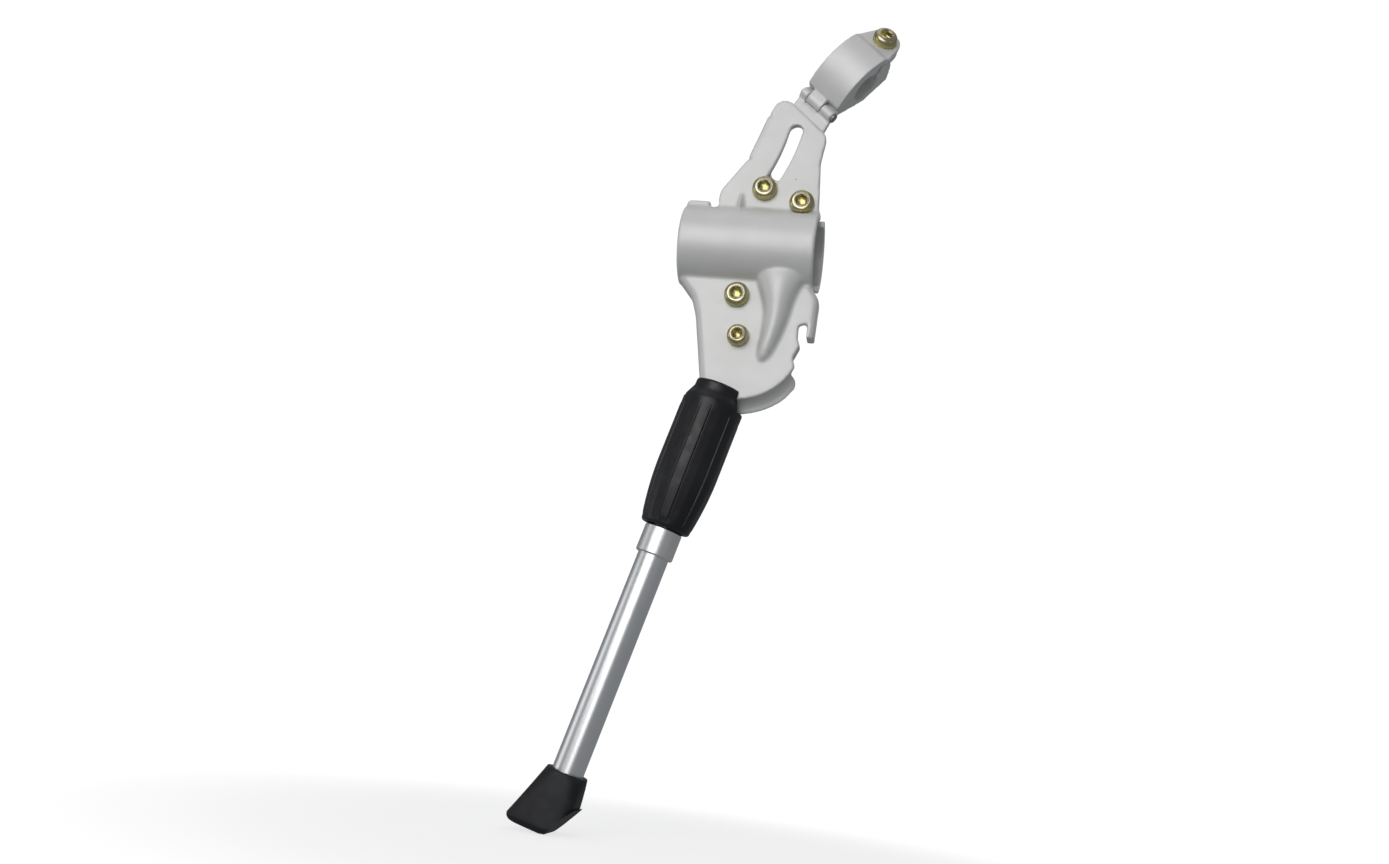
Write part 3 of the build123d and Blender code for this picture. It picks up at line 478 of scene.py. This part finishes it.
# %% Softened copies of the cast nodes
def softened(node, name, voxel_mm, rounds, factor=0.5):
    """A copy of a node, remeshed in cubes of this size and smoothed for some rounds."""
    heap = bmesh.new()
    heap.from_mesh(nodes[node].data)
    bmesh.ops.remove_doubles(heap, verts=heap.verts, dist=0.002 * MM)
    merged = bpy.data.meshes.new(name)
    heap.to_mesh(merged)
    heap.free()
    work = link(name + "_work", merged)
    remesh = work.modifiers.new("cubes", "REMESH")
    remesh.mode, remesh.voxel_size, remesh.use_smooth_shade = "VOXEL", voxel_mm * MM, True
    smooth = work.modifiers.new("melt", "SMOOTH")
    smooth.factor, smooth.iterations = factor, rounds
    bpy.context.view_layer.update()
    skin = bpy.data.meshes.new_from_object(work.evaluated_get(bpy.context.evaluated_depsgraph_get()))
    bpy.data.objects.remove(work)
    bpy.data.meshes.remove(merged)
    skin.name = name
    skin.materials.clear()
    print(name, len(skin.polygons), "faces")
    return skin


def stand_for(node, name, mesh, material):
    """Link a mesh as the piece that replaces a node, on that node's own body."""
    piece = link(name, mesh)
    mesh.materials.append(material)
    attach(piece, nodes[node]["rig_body"])
    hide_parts(node)
    return piece


castings = [
    ("main_bracket", "bracket_casting", 0.8, 3),
    ("seat_stay_arm", "arm_casting", 0.6, 3),
    ("clamp_strap", "strap_casting", 0.4, 2),
    ("rear_jaw", "jaw_casting", 0.6, 2),
]
for node, name, voxel, rounds in castings:
    stand_for(node, name, softened(node, name, voxel, rounds), cast_silver)

# %% [markdown]
# ## Finishes for metal, plastic and rubber
#
# Each of these follows the same recipe as the paint, with its own scale. Turned steel has
# fine rings across its axis, drawn tube has fine lines along it, and moulded plastic has a
# grain that is only visible close up.

# %% Drawn and anodised aluminium
aluminium = Finish("satin_anodised_tube", (0.80, 0.81, 0.815), 0.30, metallic=1.0)
drawn = aluminium.noise(1000, 3, aluminium.stretched(0.35, 30))
aluminium.blend(aluminium.ramp(aluminium.noise(30, 3), 0.3, 0.7), (0.74, 0.76, 0.78), 0.5)
aluminium.rougher(drawn, 0.08)
aluminium.bump(drawn, 0.01, 0.25)
satin_tube = aluminium.done()

turned = Finish("turned_aluminium", (0.80, 0.80, 0.79), 0.32, metallic=1.0)
rings = turned.noise(1000, 2, turned.stretched(50, 0.22))
turned.blend(turned.ramp(turned.noise(12, 3), 0.3, 0.7), (0.70, 0.71, 0.72), 0.5)
turned.rougher(rings, 0.08)
turned.bump(rings, 0.012, 0.3)
turned_collar = turned.done()

# %% Dark steel, spring steel, bronze
steel = Finish("dark_steel", (0.20, 0.23, 0.28), 0.34, metallic=1.0)
steel_rings = steel.noise(1000, 2, steel.stretched(50, 0.2))
steel.blend(steel.ramp(steel.noise(8, 4), 0.45, 0.7), (0.10, 0.11, 0.13), 0.6)
steel.rougher(steel_rings, 0.14)
steel.bump(steel_rings, 0.012, 0.3)
dark_steel = steel.done()

wire_steel = Finish("spring_wire", (0.42, 0.42, 0.43), 0.30, metallic=1.0)
wire_steel.blend(wire_steel.ramp(wire_steel.noise(4, 3), 0.4, 0.7), (0.25, 0.24, 0.23), 0.6)
wire_steel.rougher(wire_steel.noise(0.8, 2), 0.2)
spring_wire = wire_steel.done()

bronze = Finish("sintered_bronze", (0.55, 0.35, 0.17), 0.42, metallic=1.0)
bronze.blend(bronze.ramp(bronze.noise(0.35, 2), 0.5, 0.7), (0.22, 0.14, 0.07), 0.6)
bronze.rougher(bronze.noise(0.6, 2), 0.2)
bronze.bump(bronze.noise(0.3, 2), 0.02, 0.4)
sintered_bronze = bronze.done()

# %% Plastics and rubber
plastic = Finish("sleeve_plastic", (0.006, 0.006, 0.008), 0.34, Specular_IOR_Level=0.40)
plastic.blend(plastic.ramp(plastic.noise(14, 4), 0.45, 0.75), (0.013, 0.014, 0.018), 0.8)
plastic.rougher(plastic.ramp(plastic.noise(5, 4), 0.3, 0.7), 0.12)
plastic.bump(plastic.noise(0.5, 2), 0.012, 0.4)
sleeve_plastic = plastic.done()

boot = Finish("boot_rubber", (0.008, 0.008, 0.010), 0.50, Specular_IOR_Level=0.36)
boot.blend(boot.ramp(boot.noise(9, 4), 0.45, 0.75), (0.018, 0.019, 0.023), 0.7)
boot.rougher(boot.noise(3, 4), 0.16)
boot.bump(boot.noise(0.45, 3), 0.02, 0.5)
boot_rubber = boot.done()

acetal = Finish("natural_acetal", (0.72, 0.72, 0.66), 0.42, Subsurface_Weight=0.15)
acetal.blend(acetal.ramp(acetal.noise(3, 3), 0.4, 0.7), (0.62, 0.61, 0.55), 0.5)
acetal.rougher(acetal.noise(1.5, 3), 0.15)
natural_acetal = acetal.done()

# %% [markdown]
# ## Yellow passivated bolts
#
# Zinc plate dipped in a yellow chromate looks gold at first sight, and then green, pink
# and blue as the film changes in thickness. The colour belongs to the film and not to the
# view, so it is painted by slow noise plus a value stored on each ring of the head, which
# gives the bands that follow the dome.

# %% Yellow zinc
zinc = Finish("yellow_zinc", (0.56, 0.46, 0.17), 0.22, metallic=1.0)
film = zinc.add("ShaderNodeMath", operation="MULTIPLY_ADD")
zinc.wire(zinc.attribute("film"), film.inputs[0])
film.inputs[1].default_value = 0.55
zinc.wire(zinc.noise(2.6, 2), film.inputs[2])
bands = film.outputs[0]
zinc.blend(zinc.ramp(bands, 0.50, 0.60), (0.40, 0.46, 0.22), 0.55)
zinc.blend(zinc.ramp(bands, 0.64, 0.74), (0.55, 0.40, 0.28), 0.5)
zinc.blend(zinc.ramp(bands, 0.78, 0.90), (0.36, 0.40, 0.42), 0.5)
zinc.blend(zinc.ramp(bands, 0.94, 1.04), (0.58, 0.50, 0.26), 0.8)
zinc.rougher(zinc.noise(1.2, 3), 0.14)
zinc.bump(zinc.noise(0.5, 2), 0.008, 0.3)
yellow_zinc = zinc.done()

dull = Finish("dull_zinc", (0.34, 0.33, 0.28), 0.45, metallic=1.0)
dull.blend(dull.ramp(dull.noise(1.5, 3), 0.4, 0.7), (0.20, 0.19, 0.16), 0.7)
dull.rougher(dull.noise(0.8, 2), 0.2)
dull_zinc = dull.done()

# %% [markdown]
# ## Button-head bolts
#
# A bolt is one profile turned about its axis, from the tip of the thread, up under the
# head, over the dome and down into the socket. Two things are not round. The socket is a
# hexagon, so its rings blend from a circle to six flats. The thread is a helix, so its
# radius falls and rises with the height plus the turn. Both are only changes to the
# radius of a point, so the whole bolt is still one grid of points, closed at both ends.


# %% A bolt as one surface
def smooth_step(x, low, high):
    """0 below low, 1 above high, and an S-curve between them."""
    t = np.clip((x - low) / (high - low), 0.0, 1.0)
    return t * t * (3 - 2 * t)


def bolt_points(shank_r, head_r, head_h, socket_r, length, pitch=1.0, steps=72):
    """Grid of a bolt along +Z with its head above zero, and the film value of each ring.

    Radius: the profile's own, drawn towards the hexagon's flats in the socket, and cut by a
    triangle wave of the thread, whose phase is the height over the pitch plus the turn.
    """
    turn = np.linspace(0, 2 * np.pi, steps, endpoint=False)[None, :]
    thread_h = np.arange(-length + 0.7, -3.0, pitch / 8)
    crown = 0.60 * head_r
    swell = np.linspace(0, 0.5 * np.pi, 14)
    dome_r = crown + (head_r - crown) * np.cos(swell) ** 0.9
    dome_h = 0.26 * head_h + 0.66 * head_h * np.sin(swell)
    lip = np.linspace(0, np.pi, 7)
    lip_r = crown - 0.04 * head_r - 0.075 * head_r * (1 - np.cos(lip)) / 2
    lip_h = 0.93 * head_h + 0.07 * head_h * np.sin(lip)
    rings = [(1e-3, -length, 0, 0), (shank_r - 0.7, -length, 0, 0), (shank_r - 0.35, -length + 0.35, 0, 0)]
    rings += [(shank_r, h, 0, 1) for h in thread_h]
    rings += [(shank_r - 0.1, -2.6, 0, 0), (shank_r - 0.02, -0.3, 0, 0), (shank_r + 0.1, 0.0, 0, 0)]
    rings += [(head_r - 0.25, 0.0, 0, 0), (head_r - 0.05, 0.08, 0, 0), (head_r, 0.25, 0, 0)]
    rings += [(r, h, 0, 0) for r, h in zip(dome_r, dome_h)]
    rings += [(r, h, 0, 0) for r, h in zip(lip_r, lip_h)]
    rings += [(socket_r * 1.30, 0.90 * head_h, 0, 0), (socket_r * 1.16, 0.90 * head_h, 0.2, 0)]
    rings += [(socket_r, share * head_h, 1, 0) for share in (0.86, 0.84, 0.34)]
    rings += [(socket_r * 0.96, 0.32 * head_h, 1, 0), (socket_r * 0.5, 0.24 * head_h, 0.3, 0)]
    rings += [(1e-3, 0.20 * head_h, 0, 0)]
    r, h, hexed, threaded = (np.array(column)[:, None] for column in zip(*rings))
    flats = 1 / np.cos((turn + np.pi / 6) % (np.pi / 3) - np.pi / 6)
    radius = r * (1 + hexed * (flats - 1))
    phase = (h / pitch + turn / (2 * np.pi)) % 1.0
    fade = smooth_step(h, -length + 0.6, -length + 1.4) * (1 - smooth_step(h, -4.2, -3.0))
    radius = radius - threaded * fade * 0.5 * pitch * np.abs(2 * phase - 1)
    height = np.broadcast_to(h, radius.shape)
    film = np.clip((h - 0.2 * head_h) / head_h, 0, 1) + 0.0 * turn
    return np.stack([radius * np.cos(turn), radius * np.sin(turn), height], axis=-1), film


def bolt_piece(node, name, axis, head_r, head_h, shank_r, socket_r, spin, chosen=None):
    """Bolt that stands on a node's own head: the middle of its top face gives the place."""
    co = np.array([v.co for v in nodes[node].data.vertices])
    if chosen is not None:
        co = co[chosen(co)]
    axis = np.array(axis) / np.linalg.norm(axis)
    reach = co @ axis
    top = np.unique(np.round(co[reach > reach.max() - 1e-5], 6), axis=0).mean(axis=0)
    length = (reach.max() - reach.min()) / MM - head_h
    points, film = bolt_points(shank_r, head_r, head_h, socket_r, length)
    side = np.cross(axis, [0.3, 0.1, 1.0])
    side /= np.linalg.norm(side)
    side = side * math.cos(spin) + np.cross(axis, side) * math.sin(spin)
    other = np.cross(axis, side)
    seat = top - axis * head_h * MM
    placed = seat + (points[..., :1] * side + points[..., 1:2] * other + points[..., 2:] * axis) * MM
    mesh = grid_mesh(name, placed, wrap_v=True, flip=True)
    mesh.attributes.new("film", "FLOAT", "POINT").data.foreach_set("value", film.ravel())
    close_poles(mesh)
    print(name, "length", round(length, 1), "mm")
    return stand_for(node, name, mesh, yellow_zinc)


def close_poles(mesh):
    """Merge the tiny rings at both ends into single points."""
    tidy = bmesh.new()
    tidy.from_mesh(mesh)
    bmesh.ops.remove_doubles(tidy, verts=tidy.verts, dist=0.004 * MM)
    bmesh.ops.recalc_face_normals(tidy, faces=tidy.faces)
    tidy.to_mesh(mesh)
    tidy.free()


outboard = (0, -1, 0)
m6 = dict(head_r=6.2, head_h=4.6, shank_r=2.98, socket_r=2.6)
bolt_piece("clamp_bolts", "upper_clamp_bolt", outboard, spin=0.35, chosen=lambda co: co[:, 2] > 0, **m6)
bolt_piece("clamp_bolts", "lower_clamp_bolt", outboard, spin=0.9, chosen=lambda co: co[:, 2] < 0, **m6)
bolt_piece("slot_bolt", "slot_bolt_m6", outboard, spin=0.1, **m6)
pivot_m6 = dict(head_r=5.35, head_h=5.2, shank_r=2.98, socket_r=2.2)
bolt_piece("pivot_bolt", "pivot_bolt_m6", outboard, spin=0.6, **pivot_m6)

# %% [markdown]
# The strap's bolt is tilted, because the ears of the seat-stay clamp slope. The clamp's
# mount gives the direction of the seat stay, and the slope is measured across it.

# %% Strap bolt
ear_slope = math.radians(26.0)
stay_along = np.array(mounts["seatstay_clamp"]["axis"])
stay_across = np.cross([0.0, 1.0, 0.0], stay_along)
strap_axis = stay_across * math.sin(ear_slope) + np.array([0, -math.cos(ear_slope), 0])
m5 = dict(head_r=6.2, head_h=4.6, shank_r=2.48, socket_r=2.6)
bolt_piece("strap_bolt", "strap_bolt_m5", strap_axis, spin=0.2, **m5)

# %% [markdown]
# ## Lock sleeve
#
# The black sleeve is a long thimble that a spring holds up against the bracket. Its grip
# has six narrow ribs, each between two fine lines, with slightly flatter panels between
# them. Its neck is cut so that a thin lip covers the plate in front, while the rest stays
# clear behind. It is one closed surface: for every direction round the axis, a loop runs
# down the outside, round the lower rim, up the bore, over the spring's ledge and back to
# the top. Ribs and lines change the radius only, and the neck's cut changes only where the
# loop begins.


# %% Sleeve surface
sleeve = dict(neck_r=12.4, shoulder=31.5, grip_r=15.0, waist=68.0, bottom=99.0, bottom_r=11.8)
sleeve_top = 26.0
skirt_clear_r = 37.4
plate_clear_y = -5.95            # the lip's rear face, from the leg's axis
rib_count = 6
rib_half_deg = 10.4


def sleeve_radius(s):
    """Outer radius at a distance down the leg: neck, rounded shoulder, grip, taper."""
    rise = smooth_step(s, sleeve["shoulder"] - 0.8, sleeve["shoulder"] + 4.2) ** 0.7
    upper = sleeve["neck_r"] + (sleeve["grip_r"] - sleeve["neck_r"]) * rise
    t = np.clip((s - sleeve["waist"]) / (sleeve["bottom"] - sleeve["waist"]), 0, 1)
    return upper - (sleeve["grip_r"] - sleeve["bottom_r"]) * t ** 1.9


def rib_shape(turn, s):
    """How far the surface stands out: ribs proud, panels a little flat, lines cut in.

    The angle from the nearest rib's middle decides all three. Near both ends of the grip
    the pattern fades away.
    """
    period = 2 * np.pi / rib_count
    off = np.abs((turn + np.pi / 2 + period / 2) % period - period / 2)
    edge = math.radians(rib_half_deg)
    panel_mid = (period / 2 + edge) / 2
    rib = 0.28 * (1 - smooth_step(off, edge - 0.02, edge + 0.03))
    flat = -0.16 * np.cos(np.clip((off - panel_mid) / (period / 2 - edge), -0.5, 0.5) * np.pi)
    line = -0.42 * np.exp(-((off - edge) / 0.016) ** 2)
    fade = smooth_step(s, 38.0, 41.5) * (1 - smooth_step(s, 94.5, 97.5))
    return (rib + flat * (off > edge) + line) * fade


def sleeve_turns():
    """Directions round the axis, closest together where the fine lines are."""
    even = np.linspace(0, 2 * np.pi, 361)
    period = 2 * np.pi / rib_count
    off = (even + np.pi / 2 + period / 2) % period - period / 2
    edge = math.radians(rib_half_deg)
    density = 1 + 4.5 * np.exp(-((np.abs(off) - edge) / 0.035) ** 2)
    total = np.concatenate([[0], np.cumsum((density[1:] + density[:-1]) / 2)])
    return np.interp(np.linspace(0, total[-1], 601)[:-1], total, even)


def sleeve_points():
    """Closed loops round the sleeve's wall, as forward, inboard and down millimetres."""
    turn = sleeve_turns()[None, :]
    behind = smooth_step(sleeve["neck_r"] * np.sin(turn), plate_clear_y - 0.25, plate_clear_y + 0.25)
    across = np.abs(sleeve["neck_r"] * np.cos(turn))
    cut = np.sqrt(skirt_clear_r ** 2 - across ** 2)
    top = sleeve_top + (cut - sleeve_top) * behind
    share = np.linspace(0, 1, 15)[:, None]
    near = top + (41.0 - top) * share
    far = np.concatenate([np.linspace(42, 92, 34), np.linspace(93, 98.2, 9)])[:, None] + 0 * turn
    outer_s = np.vstack([near, far])
    outer_r = sleeve_radius(outer_s) + rib_shape(turn, outer_s)
    outer_r[0] -= 0.35
    rim = np.linspace(0, np.pi, 9)[1:-1, None]
    rim_mid, rim_half = (sleeve["bottom_r"] + 9.7) / 2, (sleeve["bottom_r"] - 9.7) / 2
    rim_r, rim_s = rim_mid + rim_half * np.cos(rim) + 0 * turn, 98.2 + 0.8 * np.sin(rim) + 0 * turn
    bore = [(9.6, 98.0), (9.5, 90.0), (9.5, 75.0), (9.5, 61.6), (9.1, 61.1), (6.4, 61.0), (6.0, 60.6)]
    bore += [(6.0, 58.9), (6.4, 58.5), (9.3, 58.5), (9.7, 58.1), (9.7, 50.0)]
    bore_r = np.array([b[0] for b in bore])[:, None] + 0 * turn
    bore_s = np.array([b[1] for b in bore])[:, None] + 0 * turn
    inner_r, inner_s = np.full_like(top, 9.75), top + 0.0
    radius = np.vstack([outer_r, rim_r, bore_r, inner_r])
    down = np.vstack([outer_s, rim_s, bore_s, inner_s])
    return on_leg(radius * np.cos(turn), radius * np.sin(turn), down)


sleeve_mesh = grid_mesh("sleeve_grip", sleeve_points(), wrap_u=True, wrap_v=True)
close_poles(sleeve_mesh)
stand_for("lock_sleeve", "sleeve_grip", sleeve_mesh, sleeve_plastic)
print("sleeve faces:", len(sleeve_mesh.polygons))

# %% [markdown]
# ## Spring
#
# The coil spring sits inside the sleeve, between the sleeve's ledge and a seat on the stem.
# When the sleeve is pulled down, the spring gets shorter. A spring is a round wire carried
# along a helix, so its surface has two directions: along the wire, and round it.


# %% Coil spring
coil_r, wire_r, coil_turns = 6.95, 0.65, 7
coil_low, coil_high, coil_seat = 61.7, 94.8, 95.5


def coil_points():
    """Circle of the wire's radius, across the helix at each step along it.

    One more ring at each end has no size, so that both ends of the wire are closed.
    """
    along = np.linspace(0, 1, 421)
    along = np.concatenate([along[:1], along, along[-1:]])[:, None]
    size = np.full_like(along, wire_r)
    size[[0, -1]] = 0.0
    round_wire = np.linspace(0, 2 * np.pi, 12, endpoint=False)[None, :]
    turn = 2 * np.pi * coil_turns * along
    reach = coil_r + size * np.cos(round_wire)
    down = coil_low + (coil_high - coil_low) * along + size * np.sin(round_wire)
    return on_leg(reach * np.cos(turn), reach * np.sin(turn), down)


coil_mesh = grid_mesh("coil_spring", coil_points(), wrap_v=True)
close_poles(coil_mesh)
coil = stand_for("sleeve_spring", "coil_spring", coil_mesh, spring_wire)
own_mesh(coil)

# %% [markdown]
# ## Rubber boot
#
# The boot grips the tube with a round collar and flares forward into a rounded block. One
# family of curves does both: a superellipse is a circle when its exponent is 2 and close
# to a rectangle when it is 6. Going down the boot, the exponent, the two half-widths and
# the forward shift all grow. The heel is bevelled, so that the leg can roll onto its toe:
# each point's distance is held above that slanted plane by a soft minimum.


# %% Boot surface
boot_top, boot_bottom = 218.5, 246.5
tube_end = 235.0
boot_round = 3.2
groove_pitch, groove_depth = 5.0, 0.7
tube_r = 7.5


def soft_min(a, b, width):
    """The smaller of two values, with the corner between them rounded over this width."""
    gap = np.clip((b - a) / width + 0.5, 0, 1)
    return a * gap + b * (1 - gap) - width * gap * (1 - gap) * 0.5


def boot_ring(share, inset, turn):
    """Forward and inboard millimetres of one ring: a superellipse between two extents."""
    front = 9.7 + 8.3 * share ** 1.12 - inset
    rear = 9.7 + 1.4 * share - inset
    half = 9.7 + 2.5 * share ** 0.8 - inset
    power = 2 / (2 + 3.6 * share ** 0.7)
    c, s = np.cos(turn), np.sin(turn)
    reach = np.where(c > 0, front, rear)
    return reach * np.sign(c) * np.abs(c) ** power, half * np.sign(s) * np.abs(s) ** power


def boot_points():
    """Grid from the middle of the sole, out, up the sides, over the rim and down inside."""
    turn = np.linspace(0, 2 * np.pi, 192, endpoint=False)[None, :]
    flat = np.linspace(0.0, 1.0, 16)[1:, None]
    curl = np.linspace(0.5 * np.pi, 0, 9)[1:, None]
    side = np.linspace(1, 0, 30)[1:, None]
    tall = boot_bottom - boot_top - boot_round
    sole_x, sole_y = boot_ring(np.ones((1, 1)), boot_round, turn)
    curl_x, curl_y = boot_ring(np.ones((1, 1)), boot_round * (1 - np.cos(curl)), turn)
    side_x, side_y = boot_ring(side, 0.0, turn)
    wave = np.cos(sole_x * flat * 2 * np.pi / groove_pitch)
    tread = -groove_depth * smooth_step(wave, 0.45, 0.75) * smooth_step(1 - flat, 0.06, 0.14)
    x = np.vstack([sole_x * 1e-4, sole_x * flat, curl_x, side_x])
    y = np.vstack([sole_y * 1e-4, sole_y * flat, curl_y, side_y])
    s = np.vstack([
        np.full_like(sole_x, boot_bottom), boot_bottom + tread,
        boot_bottom - boot_round * (1 - np.sin(curl)) + 0 * turn, boot_top + tall * side + 0 * turn,
    ])
    bevel = boot_bottom + 1.647 * (x + 2.0)
    s = soft_min(s, np.maximum(bevel, boot_top + 8), 2.0)
    rim = np.linspace(0.5 * np.pi, np.pi, 6)[1:, None]
    rim_r = tube_r + 2.2 * (1 - np.sin(rim - 0.5 * np.pi) * 0.9)
    bore_r = tube_r + 0.02
    inner = np.array([
        [bore_r, boot_top + 0.1], [bore_r, boot_top + 6],
        [bore_r, tube_end + 0.1], [1e-3, tube_end + 0.2],
    ])
    ring_r = np.vstack([rim_r, inner[:, :1]])
    ring_s = np.vstack([np.full_like(rim, boot_top), inner[:, 1:]])
    x = np.vstack([x, ring_r * np.cos(turn)])
    y = np.vstack([y, ring_r * np.sin(turn)])
    s = np.vstack([s, ring_s + 0 * turn])
    return on_leg(x, y, s)


boot_mesh = grid_mesh("ground_boot", boot_points(), wrap_v=True)
close_poles(boot_mesh)
stand_for("rubber_foot", "ground_boot", boot_mesh, boot_rubber)
print("boot faces:", len(boot_mesh.polygons))

# %% [markdown]
# ## Finishes on the remaining nodes
#
# The other nodes have the right shape already: turned rings, a plain tube, nuts and
# washers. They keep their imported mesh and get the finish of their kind.

# %% Assign finishes
kept = {
    "chainstay_pad": (boot_rubber, "black_rubber"),
    "slot_nut": (yellow_zinc, "yellow_zinc"),
    "hinge_pin": (dull_zinc, "yellow_zinc"),
    "pivot_washer": (yellow_zinc, "yellow_zinc"),
    "pivot_nut": (yellow_zinc, "yellow_zinc"),
    "pivot_bush": (sintered_bronze, "bronze"),
    "leg_head": (dark_steel, "dark_steel"),
    "stem": (dark_steel, "dark_steel"),
    "stem_pin": (dark_steel, "dark_steel"),
    "spring_seat": (dark_steel, "dark_steel"),
    "snap_ring": (spring_wire, "spring_steel"),
    "stem_guide": (natural_acetal, "white_plastic"),
    "collar": (turned_collar, "satin_aluminium"),
    "leg_tube": (satin_tube, "satin_aluminium"),
    "foot_plug": (sleeve_plastic, "black_plastic"),
}
for node, (material, slot) in kept.items():
    nodes[node].data.materials.clear()
    nodes[node].data.materials.append(material)
print("finished", len(kept), "kept nodes")
